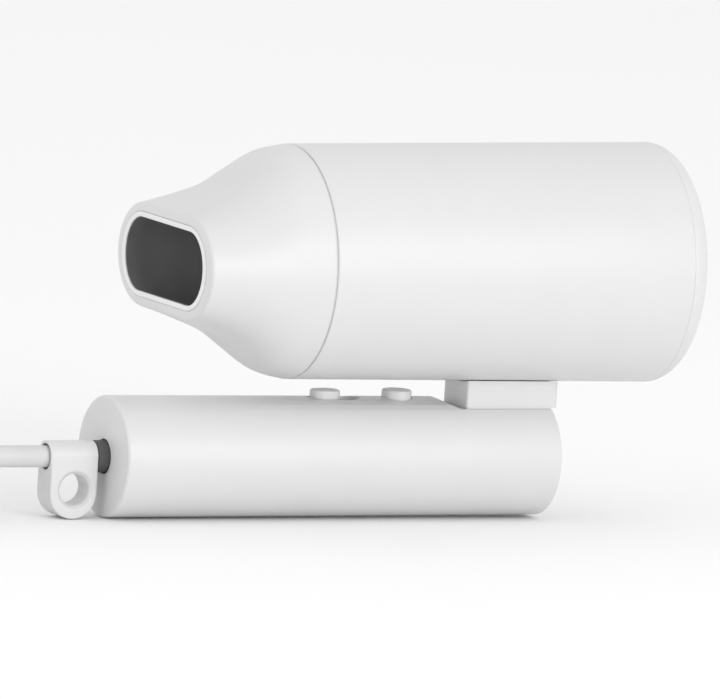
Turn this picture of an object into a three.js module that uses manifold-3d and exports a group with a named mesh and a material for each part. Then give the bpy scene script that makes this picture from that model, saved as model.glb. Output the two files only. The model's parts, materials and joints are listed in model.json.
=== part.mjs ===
import * as THREE from 'three';
import { mergeVertices } from 'three/addons/utils/BufferGeometryUtils.js';
import Module from 'manifold-3d';

const wasm = await Module();
wasm.setup();

// A folding travel hair dryer, folded flat: the barrel lies over its handle, and both point to -X.
// Millimetres. X runs along both axes, Z is up, and the handle and the hanging loop touch Z = 0.
// Handle parts are written from the centre of the handle's cord end face, and barrel parts use the
// same X with Z counted from the barrel's axis.

const gap = 0.3; // clearance between neighbouring parts

const handleLength = 148;
const handleCordRadius = 18.75;
const handleHingeRadius = 18.2;
const handleBoreRadius = 16.2;
const handleBoreEnd = 108;
const edgeBreak = 0.8;

const guardLength = 19.7; // from the handle's end face to the cord's hole
const guardRadius = 4.95;
const loopCentre = { x: -11.6, z: -10.95 };
const loopRadius = 7.8;
const loopHole = { x: -11, z: -9.8, radius: 4.9 };
const loopGap = 3.8; // between the loop plate and the handle

const pivotX = 134.5;
const tongueHalfWidth = 8.3;
const tongueLeft = 15.6;
const tongueRight = 13.5;
const neckRight = 15.8; // above the handle, where it reaches past the handle's end
const tongueRadius = 13.8;
const seatHeight = 15.6;
const pinRadius = 2.5;

const barrelRise = 60.3; // from the handle's axis to the barrel's axis
const seamX = 58.5; // nozzle to barrel
const rearX = 186.5;
const coverSeamX = 180;
const barrelFrontRadius = 36.15;
const barrelRearRadius = 37;
const barrelWall = 2;

const outletX = 16.4;
const spigotRadius = 32.2;
const spigotBore = 30.8;
const spigotEnd = 64.3;

const slider = { x: 74.1, travel: 5.8, halfLength: 4.65, halfWidth: 3.7, top: 20.65 };
const track = { left: 68, right: 85.2, halfWidth: 4, top: 16.9 };
const button = { x: 98.6, radius: 4.65, top: 20.65 };
const boardTop = 3.6;

const cordRadius = 3.4;
const coil = { x: -106, y: 22, inner: 27.2, pitch: 6.9, turnsPerLayer: 3, lift: 0.9 };
const leadBend = { start: -35, radius: 33 };
const plug = { x: coil.x + 2, aside: 33, halfHeight: 7.9, length: 34 }; // lies across the top of the coil

const handleCentre = new THREE.Vector3(-(rearX - guardLength) / 2, 0, handleCordRadius);

const finishes = {
  whiteShell: { color: 0xeeeeee, roughness: 0.45, metalness: 0 },
  whiteTrim: { color: 0xe6e6e6, roughness: 0.5, metalness: 0 },
  darkLiner: { color: 0x4a4a4a, roughness: 0.6, metalness: 0 },
  darkRubber: { color: 0x4d4d4d, roughness: 0.85, metalness: 0 },
  greyNylon: { color: 0x9a9a98, roughness: 0.6, metalness: 0 },
  steel: { color: 0xb5b7ba, roughness: 0.3, metalness: 1 },
  brass: { color: 0xc9a45c, roughness: 0.3, metalness: 1 },
  cordJacket: { color: 0xdedede, roughness: 0.6, metalness: 0 },
  board: { color: 0x2f6b3c, roughness: 0.5, metalness: 0 },
  mica: { color: 0xcbb58a, roughness: 0.7, metalness: 0 },
  wireRed: { color: 0xa33a2e, roughness: 0.6, metalness: 0 },
  wireBlue: { color: 0x35568f, roughness: 0.6, metalness: 0 },
};

// ---- solids ----

function solid(geometry) {
  const bare = geometry.clone();
  bare.deleteAttribute('normal');
  bare.deleteAttribute('uv');
  const merged = mergeVertices(bare, 1e-4);
  const points = merged.attributes.position.array;
  const corners = [];
  const index = merged.index.array;
  for (let i = 0; i < index.length; i += 3) {
    const [a, b, c] = [index[i], index[i + 1], index[i + 2]];
    if (a !== b && b !== c && c !== a) corners.push([a, b, c]);
  }
  const corner = (k) => new THREE.Vector3().fromArray(points, 3 * k);
  const volume = corners.reduce((sum, [a, b, c]) => sum + corner(a).dot(corner(b).cross(corner(c))), 0);
  const outward = volume < 0 ? corners.map(([a, b, c]) => [a, c, b]) : corners;
  return new wasm.Manifold(new wasm.Mesh({
    numProp: 3,
    vertProperties: new Float32Array(points),
    triVerts: new Uint32Array(outward.flat()),
  }));
}

function box(x0, x1, y0, y1, z0, z1) {
  const geometry = new THREE.BoxGeometry(x1 - x0, y1 - y0, z1 - z0);
  return solid(geometry.translate((x0 + x1) / 2, (y0 + y1) / 2, (z0 + z1) / 2));
}

function rodX(x0, x1, radius, y = 0, z = 0, sides = 32) {
  const geometry = new THREE.CylinderGeometry(radius, radius, x1 - x0, sides).rotateZ(-Math.PI / 2);
  return solid(geometry.translate((x0 + x1) / 2, y, z));
}

function rodY(y0, y1, radius, x, z, sides = 24) {
  const geometry = new THREE.CylinderGeometry(radius, radius, y1 - y0, sides);
  return solid(geometry.translate(x, (y0 + y1) / 2, z));
}

function rodZ(z0, z1, radius, x, y, sides = 24) {
  const geometry = new THREE.CylinderGeometry(radius, radius, z1 - z0, sides).rotateX(Math.PI / 2);
  return solid(geometry.translate(x, y, (z0 + z1) / 2));
}

// a body of revolution about X: profile points are [x, radius]
function turned(profile, sides = 40) {
  const points = profile.map(([x, radius]) => new THREE.Vector2(radius, x));
  return solid(new THREE.LatheGeometry(points, sides).rotateZ(-Math.PI / 2));
}

function ring(x0, x1, inner, outer, sides = 36) {
  return turned([[x0, inner], [x0, outer], [x1, outer], [x1, inner], [x0, inner]], sides);
}

// an outline in X and Z, extruded from y0 to y1
function plateY(shape, y0, y1, curveSegments = 12) {
  const geometry = new THREE.ExtrudeGeometry(shape, { depth: y1 - y0, bevelEnabled: false, curveSegments });
  return solid(geometry.rotateX(Math.PI / 2).translate(0, y1, 0));
}

function plateZ(shape, z0, z1, curveSegments = 8) {
  const geometry = new THREE.ExtrudeGeometry(shape, { depth: z1 - z0, bevelEnabled: false, curveSegments });
  return solid(geometry.translate(0, 0, z0));
}

function roundedRect(x0, x1, halfWidth, radius) {
  const shape = new THREE.Shape();
  const quarter = Math.PI / 2;
  shape.moveTo(x0 + radius, -halfWidth);
  shape.absarc(x1 - radius, -halfWidth + radius, radius, -quarter, 0);
  shape.absarc(x1 - radius, halfWidth - radius, radius, 0, quarter);
  shape.absarc(x0 + radius, halfWidth - radius, radius, quarter, 2 * quarter);
  shape.absarc(x0 + radius, -halfWidth + radius, radius, 2 * quarter, 3 * quarter);
  return shape;
}

function tubeAlong(curve, radius, sides, steps) {
  const section = new THREE.Shape().absarc(0, 0, radius, 0, 2 * Math.PI);
  const options = { extrudePath: curve, steps, bevelEnabled: false, curveSegments: sides / 2 };
  return solid(new THREE.ExtrudeGeometry(section, options));
}

// closed skin through a loop of section rings: out along the outside and back along the inside
function sleeve(rings, sides) {
  const positions = [];
  const index = [];
  rings.forEach((section) => {
    for (let k = 0; k < sides; k++) positions.push(...outletPoint(section, (2 * Math.PI * k) / sides));
  });
  rings.forEach((_, i) => {
    const next = (i + 1) % rings.length;
    for (let k = 0; k < sides; k++) {
      const [a, b] = [i * sides + k, i * sides + ((k + 1) % sides)];
      const [c, d] = [next * sides + k, next * sides + ((k + 1) % sides)];
      index.push(a, b, d, a, d, c);
    }
  });
  const geometry = new THREE.BufferGeometry();
  geometry.setAttribute('position', new THREE.Float32BufferAttribute(positions, 3));
  geometry.setIndex(index);
  return solid(geometry);
}

// a point on a flat-topped oval: flat over |y| <= flat, closed by half ellipses out to halfWidth
function outletPoint({ x, halfWidth, halfHeight, flat }, angle) {
  const c = Math.cos(angle);
  const s = Math.sin(angle);
  const round = halfWidth - flat;
  const level = halfHeight / Math.max(Math.abs(s), 1e-6);
  if (level * Math.abs(c) <= flat) return [x, level * c, level * s];
  const a = (c / round) ** 2 + (s / halfHeight) ** 2;
  const b = (-2 * Math.abs(c) * flat) / round ** 2;
  const r = (-b + Math.sqrt(b * b - 4 * a * ((flat / round) ** 2 - 1))) / (2 * a);
  return [x, r * c, r * s];
}

const parts = { handle: new THREE.Group(), barrel: new THREE.Group() };

function add(group, name, finish, shape) {
  const { vertProperties, triVerts } = shape.getMesh();
  const geometry = new THREE.BufferGeometry();
  geometry.setAttribute('position', new THREE.BufferAttribute(new Float32Array(vertProperties), 3));
  geometry.setIndex(new THREE.BufferAttribute(new Uint32Array(triVerts), 1));
  geometry.computeVertexNormals();
  const mesh = new THREE.Mesh(geometry, new THREE.MeshStandardMaterial(finishes[finish]));
  mesh.name = name;
  group.add(mesh);
}

// ---- handle ----

function handleBody() {
  return turned([
    [0, 0], [0, handleCordRadius - edgeBreak], [edgeBreak, handleCordRadius],
    [handleLength - edgeBreak, handleHingeRadius], [handleLength, handleHingeRadius - edgeBreak],
    [handleLength, 0],
  ], 48);
}

// the flat where the neck stands, with the short ramp that leads down to it
function seatCut() {
  const shape = new THREE.Shape();
  shape.moveTo(110.7, handleHingeRadius + 0.2);
  shape.lineTo(116.4, seatHeight);
  shape.lineTo(160, seatHeight);
  shape.lineTo(160, 30);
  shape.lineTo(110.7, 30);
  return plateY(shape, -30, 30);
}

const slotLeft = pivotX - tongueLeft - gap;
const slotHalfWidth = tongueHalfWidth + gap;
const slotFloor = -(tongueRadius + 0.25);
const wirePassage = { z: 6.5, radius: 3 };
const counterboreStart = 12;
const counterboreRadius = 4.8;

function handleShell() {
  const trackHole = roundedRect(track.left - gap, track.right + gap, track.halfWidth + gap, track.halfWidth + gap);
  return handleBody()
    .subtract(rodX(-1, handleBoreEnd, handleBoreRadius, 0, 0, 40))
    .subtract(box(slotLeft, 160, -slotHalfWidth, slotHalfWidth, slotFloor, 30))
    .subtract(seatCut())
    .subtract(rodX(handleBoreEnd - 1, slotLeft + 1, wirePassage.radius, 0, wirePassage.z, 16))
    .subtract(plateZ(trackHole, 12, 30))
    .subtract(rodZ(12, 30, button.radius + gap, button.x, 0))
    .subtract(rodY(-15.3, counterboreStart + 1, pinRadius + gap, pivotX, 0))
    .subtract(rodY(counterboreStart, 30, counterboreRadius, pivotX, 0));
}

function endCap() {
  const [face, rim, inner] = [3, 8, 14.2];
  const outer = handleBoreRadius - gap;
  const hole = guardRadius + gap;
  return turned([[0, hole], [0, outer], [rim, outer], [rim, inner], [face, inner], [face, hole], [0, hole]]);
}

// a block round the cord, with the loop that the dryer hangs by under it
function cordGuard() {
  const left = loopCentre.x - loopRadius;
  const right = loopCentre.x + loopRadius;
  const loop = new THREE.Shape();
  loop.moveTo(left, 0);
  loop.lineTo(left, loopCentre.z);
  loop.absarc(loopCentre.x, loopCentre.z, loopRadius, Math.PI, 2 * Math.PI);
  loop.lineTo(right, 0);
  const neckRadius = 3.6;
  return rodX(-guardLength, -loopGap, guardRadius)
    .add(plateY(loop, -guardRadius, guardRadius))
    .add(rodX(-loopGap - 1, 4, neckRadius))
    .add(rodX(3.4, 5.4, 6.5))
    .subtract(rodY(-10, 10, loopHole.radius, loopHole.x, loopHole.z))
    .subtract(rodX(-guardLength - 1, -8, cordRadius + 2 * gap))
    .subtract(rodX(-9, 6, 2.7));
}

function clampPlate(z0, z1) {
  const holes = [-5.2, 5.2].map((y) => rodZ(z0 - 1, z1 + 1, 1.4, 11.5, y, 16));
  return holes.reduce((plate, hole) => plate.subtract(hole), box(9, 14, -8, 8, z0, z1));
}

function clampScrew(y) {
  return rodZ(-4, 5, 1.1, 11.5, y, 12).add(rodZ(4.5, 5.9, 2.2, 11.5, y, 16));
}

// a trough in the lower half of the bore, with ribs for the board and a block for the clamp
function chassis() {
  const outer = handleBoreRadius - 0.4;
  const trough = ring(9, 107, 14.4, outer, 40).subtract(box(0, 120, -20, 20, -3, 20));
  const core = rodX(9, 107, 15.2, 0, 0, 40);
  const ribs = [40, 94].map((x) => box(x, x + 2, -12, 12, -15, 1.7));
  const block = box(9, 29, -8, 8, -15, -4.5);
  return ribs.reduce((sum, rib) => sum.add(rib.intersect(core)), trough.add(block.intersect(core)));
}

function slideSwitch() {
  const lever = 1.2;
  const slot = box(slider.x - lever - 0.5, slider.x + slider.travel + lever + 0.5, -1.6, 1.6, 6.9, 12);
  return box(66, 90, -4.5, 4.5, boardTop + gap, 9.9).subtract(slot);
}

function switchTrack() {
  const insert = plateZ(roundedRect(track.left, track.right, track.halfWidth, track.halfWidth), 13.6, track.top);
  const flange = plateZ(roundedRect(track.left - 1.8, track.right + 1.8, 5.2, 5.2), 13.6, 14.7);
  const slot = box(slider.x - 2.3, slider.x + slider.travel + 2.3, -1.8, 1.8, 12, 20);
  return insert.add(flange).subtract(slot);
}

function slideKnob() {
  const { x, halfLength, halfWidth, top } = slider;
  const cap = plateZ(roundedRect(x - halfLength, x + halfLength, halfWidth, 3.4), track.top + gap, top);
  return cap.add(box(x - 2, x + 2, -1.5, 1.5, 12.9, track.top + 1));
}

function slideActuator() {
  const { x } = slider;
  return box(x - 6.5, x + 6.5, -4.2, 4.2, 10.9, 12.6).add(box(x - 1.2, x + 1.2, -1.2, 1.2, 7.5, 11.5));
}

function pushButton() {
  return rodZ(14, button.top, button.radius, button.x, 0)
    .add(rodZ(13.3, 14.7, 5.8, button.x, 0))
    .add(rodZ(8.9, 14, 1.6, button.x, 0, 16));
}

function buttonSpring() {
  const [radius, wire, turns, low, high] = [3, 0.35, 4, 8, 12.7];
  const points = Array.from({ length: 12 * turns + 1 }, (_, i) => {
    const angle = (Math.PI * i) / 6;
    const z = low + ((high - low) * i) / (12 * turns);
    return new THREE.Vector3(button.x + radius * Math.cos(angle), radius * Math.sin(angle), z);
  });
  return tubeAlong(new THREE.CatmullRomCurve3(points), wire, 6, 12 * turns);
}

function hingePin() {
  return rodY(-15, counterboreStart + 0.8, pinRadius, pivotX, 0, 24)
    .add(rodY(counterboreStart + gap, 14, 4.5, pivotX, 0, 24));
}

function hingeCap() {
  return rodY(14.3, 25, 4.5, pivotX, 0).intersect(handleBody());
}

function frictionWasher(side) {
  const [y0, y1] = side > 0 ? [7.5, 8.3] : [-8.3, -7.5];
  return rodY(y0, y1, 6.7, pivotX, 0).subtract(rodY(y0 - 1, y1 + 1, pinRadius + 0.4, pivotX, 0));
}

function buildHandle() {
  const group = parts.handle;
  add(group, 'handle_shell', 'whiteShell', handleShell());
  add(group, 'handle_end_cap', 'whiteShell', endCap());
  add(group, 'cord_guard', 'whiteShell', cordGuard());
  add(group, 'guard_bush', 'darkRubber', ring(-loopGap + gap, 3.1, 3.9, guardRadius, 32));
  add(group, 'mains_wire_live', 'wireRed', rodX(-8, 18.7, 1, 1.3, 0, 12));
  add(group, 'mains_wire_neutral', 'wireBlue', rodX(-8, 18.7, 1, -1.3, 0, 12));
  add(group, 'cord_clamp_base', 'greyNylon', clampPlate(-4.2, -1.3));
  add(group, 'cord_clamp_bar', 'greyNylon', clampPlate(1.3, 4.2));
  add(group, 'clamp_screw_front', 'steel', clampScrew(-5.2));
  add(group, 'clamp_screw_rear', 'steel', clampScrew(5.2));
  add(group, 'terminal_block', 'greyNylon', box(19, 28, -7, 7, -4.2, 5));
  add(group, 'chassis', 'greyNylon', chassis());
  add(group, 'control_board', 'board', box(32, 106, -11, 11, 2, boardTop));
  add(group, 'suppression_capacitor', 'wireBlue', box(38, 52, -4, 4, boardTop + gap, 12));
  add(group, 'slide_switch', 'greyNylon', slideSwitch());
  add(group, 'switch_track', 'whiteTrim', switchTrack());
  add(group, 'slide_knob', 'whiteShell', slideKnob());
  add(group, 'slide_actuator', 'greyNylon', slideActuator());
  add(group, 'tact_switch', 'steel', box(button.x - 3, button.x + 3, -3, 3, boardTop + gap, 7.4));
  add(group, 'button_spring', 'steel', buttonSpring());
  add(group, 'push_button', 'whiteShell', pushButton());
  add(group, 'handle_harness', 'darkRubber', rodX(104, slotLeft - gap, 2.2, 0, wirePassage.z, 12));
  add(group, 'hinge_pin', 'steel', hingePin());
  add(group, 'hinge_cap', 'whiteShell', hingeCap());
  add(group, 'friction_washer_front', 'steel', frictionWasher(-1));
  add(group, 'friction_washer_rear', 'steel', frictionWasher(1));
}

// ---- cord: two layers of turns beyond the loop, with the plug lying on them ----

const outerTurn = coil.inner + coil.pitch * coil.turnsPerLayer;
const lowLayer = coil.lift + cordRadius - handleCordRadius;
const highLayer = lowLayer + 2 * cordRadius;
const topLayer = highLayer + 7.1; // the last half turn crosses over the others
const ringInner = coil.inner - cordRadius - 0.1;
const ringOuter = outerTurn + cordRadius + 0.1;
const plugY = coil.y + plug.aside;
const plugAxis = highLayer + cordRadius + gap + plug.halfHeight;

const ease = (t) => (1 - Math.cos(Math.PI * t)) / 2;

// straight out of the loop's block, then two equal arcs aside and down towards the coil
function leadRoute(reach) {
  const side = outerTurn - coil.y;
  const { start, radius } = leadBend;
  const sweep = Math.acos(1 - side / (2 * radius));
  const length = 2 * radius * sweep;
  const points = [-8.3, -16, -23, -29].map((x) => new THREE.Vector3(x, 0, 0));
  for (let along = 0; along <= reach; along += 5) {
    const turn = Math.min(along, length - along) / radius;
    const [forward, aside] = [radius * Math.sin(turn), radius * (1 - Math.cos(turn))];
    const first = along < length / 2;
    const x = first ? start - forward : start - 2 * radius * Math.sin(sweep) + forward;
    points.push(new THREE.Vector3(x, first ? -aside : aside - side, lowLayer * ease(along / length)));
  }
  return points;
}

// the last quarter turn on top of the coil, rising into the plug
function tailRoute() {
  const steps = 8;
  const points = [];
  for (let i = 0; i <= steps; i++) {
    const part = i / steps;
    const radius = THREE.MathUtils.lerp(outerTurn - 5.2, plug.aside, ease(part));
    const angle = Math.PI * (1 - part / 2);
    const height = THREE.MathUtils.lerp(topLayer, plugAxis, ease(Math.max(part - 0.2, 0) / 0.8));
    points.push(new THREE.Vector3(
      coil.x + radius * Math.cos(angle), coil.y + radius * Math.sin(angle), height));
  }
  points.push(new THREE.Vector3(plug.x - gap, plugY, plugAxis));
  return points;
}

function cordAlong(points, steps) {
  return tubeAlong(new THREE.CatmullRomCurve3(points), cordRadius, 10, steps);
}

function coilRing() {
  const [low, high] = [lowLayer - cordRadius, highLayer + cordRadius];
  const profile = [[ringInner, low], [ringOuter, low], [ringOuter, high], [ringInner, high], [ringInner, low]];
  const points = profile.map(([radius, z]) => new THREE.Vector2(radius, z));
  const geometry = new THREE.LatheGeometry(points, 48).rotateX(Math.PI / 2);
  return solid(geometry.translate(coil.x, coil.y, 0));
}

// a strap round the turns at the side near the dryer
function cordTie() {
  const [x0, x1] = [coil.x + ringInner - 1.1, coil.x + ringOuter + 0.7];
  const [low, high] = [-handleCordRadius + 0.05, highLayer + cordRadius + gap];
  const around = box(x0 - 0.9, x1 + 0.9, coil.y - 6, coil.y + 6, low, high + 0.9);
  return around.subtract(box(x0, x1, coil.y - 10, coil.y + 10, low + 0.6, high));
}

function plugBody() {
  const shape = new THREE.Shape();
  shape.moveTo(0, -4.6);
  shape.lineTo(0, 4.6);
  shape.bezierCurveTo(8, 5.5, 10, 12, 18, 13);
  shape.lineTo(plug.length, 13);
  shape.lineTo(plug.length, -13);
  shape.lineTo(18, -13);
  shape.bezierCurveTo(10, -12, 8, -5.5, 0, -4.6);
  return plateZ(shape, -plug.halfHeight, plug.halfHeight)
    .intersect(turned([[0, 0], [0, 4.6], [16, 13], [plug.length, 16], [plug.length, 0]], 32))
    .translate([plug.x, plugY, plugAxis]);
}

function plugBlade(side) {
  const start = plug.x + plug.length + gap;
  const y = plugY + side * 6.35;
  return box(start, start + 16.8, y - 0.75, y + 0.75, plugAxis - 3.2, plugAxis + 3.2);
}

function buildCord() {
  const group = parts.handle;
  add(group, 'cord_lead', 'cordJacket', cordAlong(leadRoute(50), 28));
  add(group, 'cord_coil', 'cordJacket', coilRing());
  add(group, 'cord_tail', 'cordJacket', cordAlong(tailRoute(), 16));
  add(group, 'cord_tie', 'darkRubber', cordTie());
  add(group, 'plug_body', 'cordJacket', plugBody());
  add(group, 'plug_blade_front', 'brass', plugBlade(-1));
  add(group, 'plug_blade_rear', 'brass', plugBlade(1));
}

// ---- barrel ----

const shellRadius = (x) => THREE.MathUtils.mapLinear(x, seamX, coverSeamX, barrelFrontRadius, barrelRearRadius);
const neckScrews = [126, 142];
const harnessX = 134;

function barrelShell() {
  const front = seamX + gap;
  const shell = turned([
    [front, barrelFrontRadius - barrelWall], [front, barrelFrontRadius], [coverSeamX, barrelRearRadius],
    [coverSeamX, barrelRearRadius - barrelWall], [front, barrelFrontRadius - barrelWall],
  ], 48);
  return neckScrews
    .reduce((sum, x) => sum.subtract(rodZ(-40, -30, 1.6, x, 0, 16)), shell)
    .subtract(rodZ(-40, -30, 2.8, harnessX, 0, 20));
}

// neck and hinge tongue in one: a square block above, a half disc round the pin below
function neckBlock() {
  const z = -barrelRise;
  const shape = new THREE.Shape();
  shape.moveTo(pivotX - tongueLeft, -30);
  shape.lineTo(pivotX - tongueLeft, z);
  shape.lineTo(pivotX - tongueRadius, z);
  shape.absarc(pivotX, z, tongueRadius, Math.PI, 2 * Math.PI - Math.acos(tongueRight / tongueRadius));
  shape.lineTo(pivotX + tongueRight, z + seatHeight + gap);
  shape.lineTo(pivotX + neckRight, z + seatHeight + gap);
  shape.lineTo(pivotX + neckRight, -30);
  const washerRecess = 7.2;
  const channel = -52.3;
  const solidNeck = plateY(shape, -tongueHalfWidth, tongueHalfWidth)
    .subtract(rodX(100, 160, shellRadius(pivotX) + gap, 0, 0, 64))
    .subtract(rodY(-10, 10, 4.3, pivotX, z))
    .subtract(rodY(washerRecess, 10, 7, pivotX, z))
    .subtract(rodY(-10, -washerRecess, 7, pivotX, z))
    .subtract(rodX(110, harnessX, 2.6, 0, channel, 16))
    .subtract(rodZ(channel, -30, 2.6, harnessX, 0, 20));
  return neckScrews.reduce((sum, x) => sum.subtract(rodZ(-48, -30, 1.6, x, 0, 16)), solidNeck);
}

function neckScrew(x) {
  return rodZ(-47.7, -34, 1.25, x, 0, 12).add(rodZ(-34.3, -32.5, 2.6, x, 0, 16));
}

// duct round the fan, with straight vanes that hold the motor in the middle
function fanHousing() {
  const vanes = Array.from({ length: 7 }, (_, i) => (
    box(120, 136, 13.2, 30.6, -0.7, 0.7).rotate([(360 * i) / 7 + 12, 0, 0])
  ));
  const holder = ring(118, 138, 12.2, 13.8, 40);
  return vanes.reduce((sum, vane) => sum.add(vane), ring(100, 172, 30.2, 31.8).add(holder));
}

function motorCan() {
  return turned([
    [108, 0], [108, 10.4], [109.5, 11.9], [142.5, 11.9], [144, 10.4], [144, 2.1], [126, 2.1], [126, 0],
  ], 36);
}

function impellerBlade(angle) {
  const geometry = new THREE.BoxGeometry(17, 1.4, 20, 1, 1, 3);
  const position = geometry.attributes.position;
  const point = new THREE.Vector3();
  for (let i = 0; i < position.count; i++) {
    point.fromBufferAttribute(position, i);
    const pitch = THREE.MathUtils.mapLinear(point.z, -10, 10, 0.6, 1.0);
    point.applyAxisAngle(new THREE.Vector3(0, 0, 1), pitch);
    position.setXYZ(i, point.x, point.y, point.z);
  }
  return solid(geometry.translate(157, 0, 20.5).rotateX(angle));
}

function impeller() {
  const hub = turned([[149, 2.1], [149, 12], [162, 12], [166, 9], [168, 4], [168, 2.1], [149, 2.1]], 36);
  const sweep = rodX(140, 170, 29.2, 0, 0, 56);
  const blades = Array.from({ length: 9 }, (_, i) => impellerBlade((2 * Math.PI * i) / 9).intersect(sweep));
  return blades.reduce((sum, blade) => sum.add(blade), hub.add(ring(149, 162, 9, 12, 36)));
}

const heater = { start: 70, end: 98, plate: 27.3, coilRadius: 28.2, wire: 0.4 };

function heaterFrame() {
  const { start, end, plate } = heater;
  return box(start, end, -plate, plate, -0.5, 0.5).add(box(start, end, -0.5, 0.5, -plate, plate));
}

function heatingCoil(offset) {
  const [turns, steps] = [3, 16];
  const pitch = (heater.end - heater.start - 8) / turns;
  const points = Array.from({ length: turns * steps + 1 }, (_, i) => {
    const angle = (2 * Math.PI * i) / steps;
    const x = heater.start + 2 + offset + (pitch * i) / steps;
    return new THREE.Vector3(x, heater.coilRadius * Math.cos(angle), heater.coilRadius * Math.sin(angle));
  });
  return tubeAlong(new THREE.CatmullRomCurve3(points), heater.wire, 4, turns * steps);
}

function outletGrille() {
  const [x0, x1] = [65, 67.2];
  const spokes = Array.from({ length: 6 }, (_, i) => (
    box(x0 + 0.3, x1 - 0.3, 5, 33, -0.6, 0.6).rotate([60 * i, 0, 0])
  ));
  const rings = [[5, 6.2], [18, 19.2]].map(([inner, outer]) => ring(x0, x1, inner, outer, 20));
  return [...rings, ...spokes].reduce((sum, piece) => sum.add(piece), ring(x0, x1, 32.1, 33.8));
}

function rearCap() {
  const [fillet, lip, spigot] = [6, 28.5, barrelRearRadius - barrelWall - gap];
  const seam = coverSeamX + gap;
  const arc = Array.from({ length: 5 }, (_, i) => {
    const angle = (Math.PI * i) / 8;
    return [rearX - fillet + fillet * Math.sin(angle), barrelRearRadius - fillet + fillet * Math.cos(angle)];
  });
  return turned([
    [seam, barrelRearRadius], ...arc, [rearX, lip], [rearX - 2.2, lip], [rearX - 2.2, 33.2],
    [174, 33.2], [174, spigot], [seam, spigot], [seam, barrelRearRadius],
  ], 48);
}

// intake plate with rings of slots, held behind the lip of the rear cap
function rearGrille() {
  const disc = ring(182, 184, 2, 32.6, 48).add(rodX(183, 186.2, 28.2, 0, 0, 48)).add(rodX(182, 185, 3, 0, 0, 24));
  const rows = [[6.5, 14.5, 12], [16.5, 25.5, 24]];
  return rows.reduce((plate, [inner, outer, count]) => {
    const width = (2 * Math.PI * inner) / count / 2;
    return Array.from({ length: count }, (_, i) => (
      box(180, 190, inner, outer, -width / 2, width / 2).rotate([(360 * i) / count, 0, 0])
    )).reduce((sum, slot) => sum.subtract(slot), plate);
  }, disc);
}

// ---- nozzle ----

const oval = (x, halfWidth, halfHeight, flat) => ({ x, halfWidth, halfHeight, flat });
const round = (x, radius) => oval(x, radius, radius, 0);

// outside of the nozzle: half height by distance from the outlet, hollow near it and full near the barrel
const nozzleHeights = new THREE.SplineCurve([
  [0, 15.7], [9.2, 18.95], [18.9, 23.1], [25.8, 28.3], [33.8, 34.1], [seamX - outletX, barrelFrontRadius],
].map(([x, z]) => new THREE.Vector2(x, z)));

function nozzleShell() {
  const outside = Array.from({ length: 10 }, (_, i) => {
    const { x, y } = nozzleHeights.getPoint(i / 9);
    const t = x / (seamX - outletX);
    const halfWidth = THREE.MathUtils.lerp(34.4, barrelFrontRadius, THREE.MathUtils.smoothstep(t, 0, 1));
    return oval(outletX + x, halfWidth, y, 16.3 * (1 - t) ** 1.3);
  });
  outside[0].x += 1;
  outside[0].halfHeight += 0.35;
  const rim = oval(outletX, 33.5, 14.9, 16.3);
  const inside = [
    round(seamX, spigotRadius), round(spigotEnd, spigotRadius), round(spigotEnd, spigotBore),
    round(seamX - 1, spigotBore), oval(50, 30.8, 29.6, 3), oval(42, 30.7, 24.6, 7),
    oval(34, 30.5, 19.2, 11), oval(26, 30, 15.5, 14.5), oval(19, 29.1, 12.9, 17),
    oval(17.8, 29, 12.7, 17), oval(17.6, 27.7, 11.4, 17), oval(outletX, 27.7, 11.4, 17),
  ];
  return sleeve([rim, ...outside, ...inside], 36);
}

function nozzleLiner() {
  const walls = [
    oval(17.9, 28.6, 12.3, 17), oval(22, 29.1, 13.2, 16), oval(26, 29.4, 14.9, 14.4),
    oval(34, 29.7, 18.4, 10.9), oval(42, 29.9, 23.8, 6.9), oval(50, 30, 28.8, 2.9), round(60, 30),
  ];
  const back = walls.map((s) => oval(s.x, s.halfWidth - 0.8, s.halfHeight - 0.8, s.flat)).reverse();
  return sleeve([...walls, ...back], 36);
}

function buildBarrel() {
  const group = parts.barrel;
  add(group, 'neck_block', 'whiteShell', neckBlock());
  add(group, 'hinge_bush', 'brass', rodY(-6.9, 6.9, 4, pivotX, -barrelRise, 24)
    .subtract(rodY(-8, 8, pinRadius + gap, pivotX, -barrelRise, 24)));
  neckScrews.forEach((x, i) => add(group, `neck_screw_${i + 1}`, 'steel', neckScrew(x)));
  add(group, 'barrel_harness', 'darkRubber', rodZ(-51, -32.8, 2.2, harnessX, 0, 12));
  add(group, 'barrel_shell', 'whiteShell', barrelShell());
  add(group, 'fan_housing', 'greyNylon', fanHousing());
  add(group, 'motor_can', 'steel', motorCan());
  add(group, 'motor_shaft', 'steel', rodX(126.4, 169, 1.75, 0, 0, 16));
  add(group, 'impeller', 'darkLiner', impeller());
  add(group, 'heater_frame', 'mica', heaterFrame());
  add(group, 'heating_coil_main', 'steel', heatingCoil(0));
  add(group, 'heating_coil_boost', 'steel', heatingCoil(2.5));
  add(group, 'mica_sleeve', 'mica', ring(68, 99, 29.2, 29.9));
  add(group, 'thermostat', 'steel', box(74, 82, 5, 13, 0.8, 4.8));
  add(group, 'thermal_fuse', 'brass', rodX(74, 86, 1.3, -10, 2.2, 12));
  add(group, 'outlet_grille', 'darkLiner', outletGrille());
  add(group, 'nozzle_ring', 'steel', ring(59, spigotEnd, spigotRadius + gap, 33.85));
  add(group, 'nozzle_shell', 'whiteShell', nozzleShell());
  add(group, 'nozzle_liner', 'darkLiner', nozzleLiner());
  add(group, 'rear_cap', 'whiteShell', rearCap());
  add(group, 'rear_grille', 'whiteTrim', rearGrille());
  add(group, 'filter_mesh', 'greyNylon', rodX(180.6, 181.7, 32, 0, 0, 48));
}

buildHandle();
buildCord();
buildBarrel();

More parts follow.
